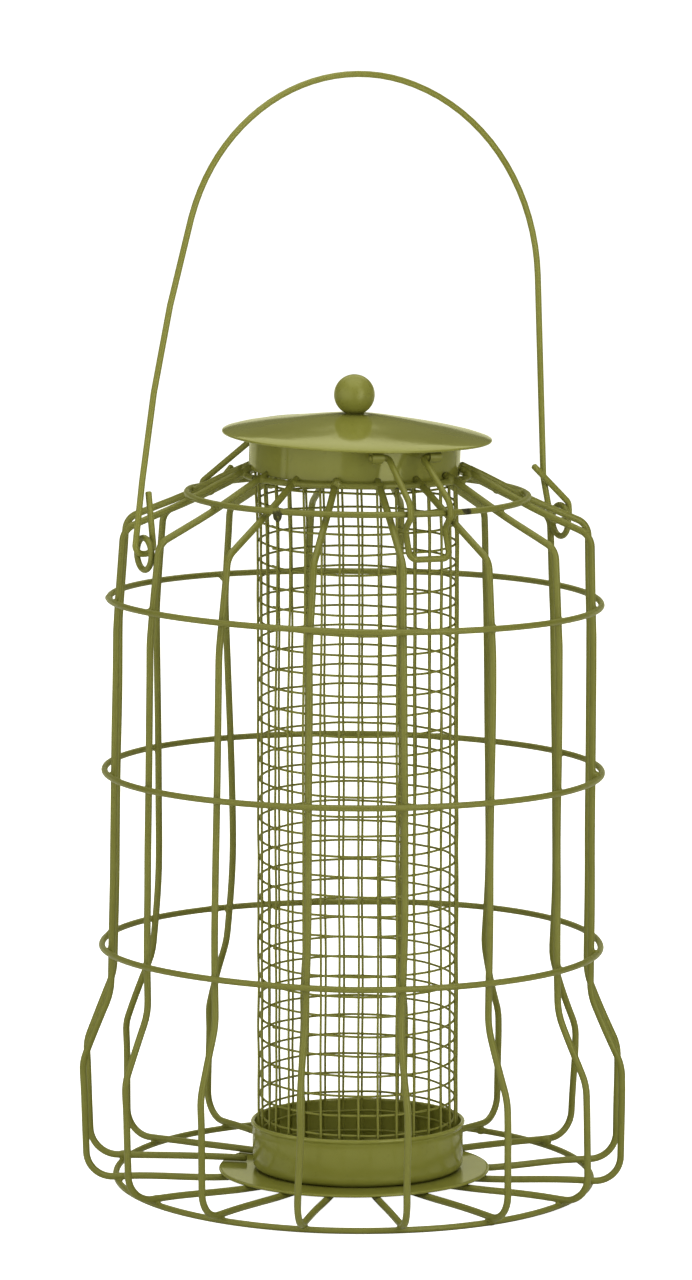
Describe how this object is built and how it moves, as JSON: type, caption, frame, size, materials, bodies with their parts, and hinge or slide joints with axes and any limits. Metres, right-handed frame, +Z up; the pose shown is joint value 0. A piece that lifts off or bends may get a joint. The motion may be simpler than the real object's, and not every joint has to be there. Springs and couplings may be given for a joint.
{
  "type": "hanging bird feeder",
  "caption": "Wire mesh nut tube inside a cage of bent wire ribs, with a hinged domed lid, a wire latch, a seed cup and a swinging bail handle.",
  "frame": {"origin": "on the feeder's axis, at the plane that its base ring stands on", "axes": "+Z up the axis, -Y towards the front, +X to the right seen from the front"},
  "size_m": [0.1796, 0.1796, 0.3682],
  "materials": {
    "cage_paint": "glossy olive green",
    "mesh_paint": "glossy olive green",
    "sheet_paint": "glossy olive green",
    "knob_paint": "glossy olive green",
    "screw_paint": "glossy olive green",
    "fitting_paint": "glossy olive green",
    "handle_paint": "glossy olive green"
  },
  "bodies": {
    "cage": {"rib_01": "cage_paint", "rib_02": "cage_paint", "rib_03": "cage_paint", "rib_04": "cage_paint", "rib_05": "cage_paint", "rib_06": "cage_paint", "rib_07": "cage_paint", "rib_08": "cage_paint", "rib_09": "cage_paint", "rib_10": "cage_paint", "rib_11": "cage_paint", "rib_12": "cage_paint", "rib_13": "cage_paint", "rib_14": "cage_paint", "rib_15": "cage_paint", "rib_16": "cage_paint", "neck_ring": "cage_paint", "shoulder_ring": "cage_paint", "upper_hoop": "cage_paint", "middle_hoop": "cage_paint", "lower_hoop": "cage_paint", "base_ring": "cage_paint", "base_disc": "sheet_paint", "food_cup": "sheet_paint", "mesh_uprights": "mesh_paint", "mesh_hoops_upper": "mesh_paint", "mesh_hoops_lower": "mesh_paint", "handle_eye_left": "cage_paint", "handle_eye_right": "cage_paint"},
    "lid": {"lid_cap": "sheet_paint", "lid_collar": "sheet_paint", "knob": "knob_paint", "knob_screw": "screw_paint", "hinge_wire": "fitting_paint", "latch_knuckle_left": "fitting_paint", "latch_knuckle_right": "fitting_paint"},
    "latch": {"latch_wire": "fitting_paint"},
    "handle": {"handle": "handle_paint"}
  },
  "joints": [
    {"name": "lid_hinge", "type": "hinge", "parent": "cage", "child": "lid", "pos_m": [-0.03889, 0.03756, 0.23004], "axis": [-0.6947, -0.7193, 0], "range_deg": [0, 85]},
    {"name": "latch_swing", "type": "hinge", "parent": "lid", "child": "latch", "pos_m": [0.01594, -0.03586, 0.24566], "axis": [-0.9152, -0.4024, 0.0232], "range_deg": [0, 24]},
    {"name": "handle_swing", "type": "hinge", "parent": "cage", "child": "handle", "pos_m": [0, 0, 0.2158], "axis": [0.8807, 0.4733, 0.0168], "range_deg": [-40, 40]}
  ]
}
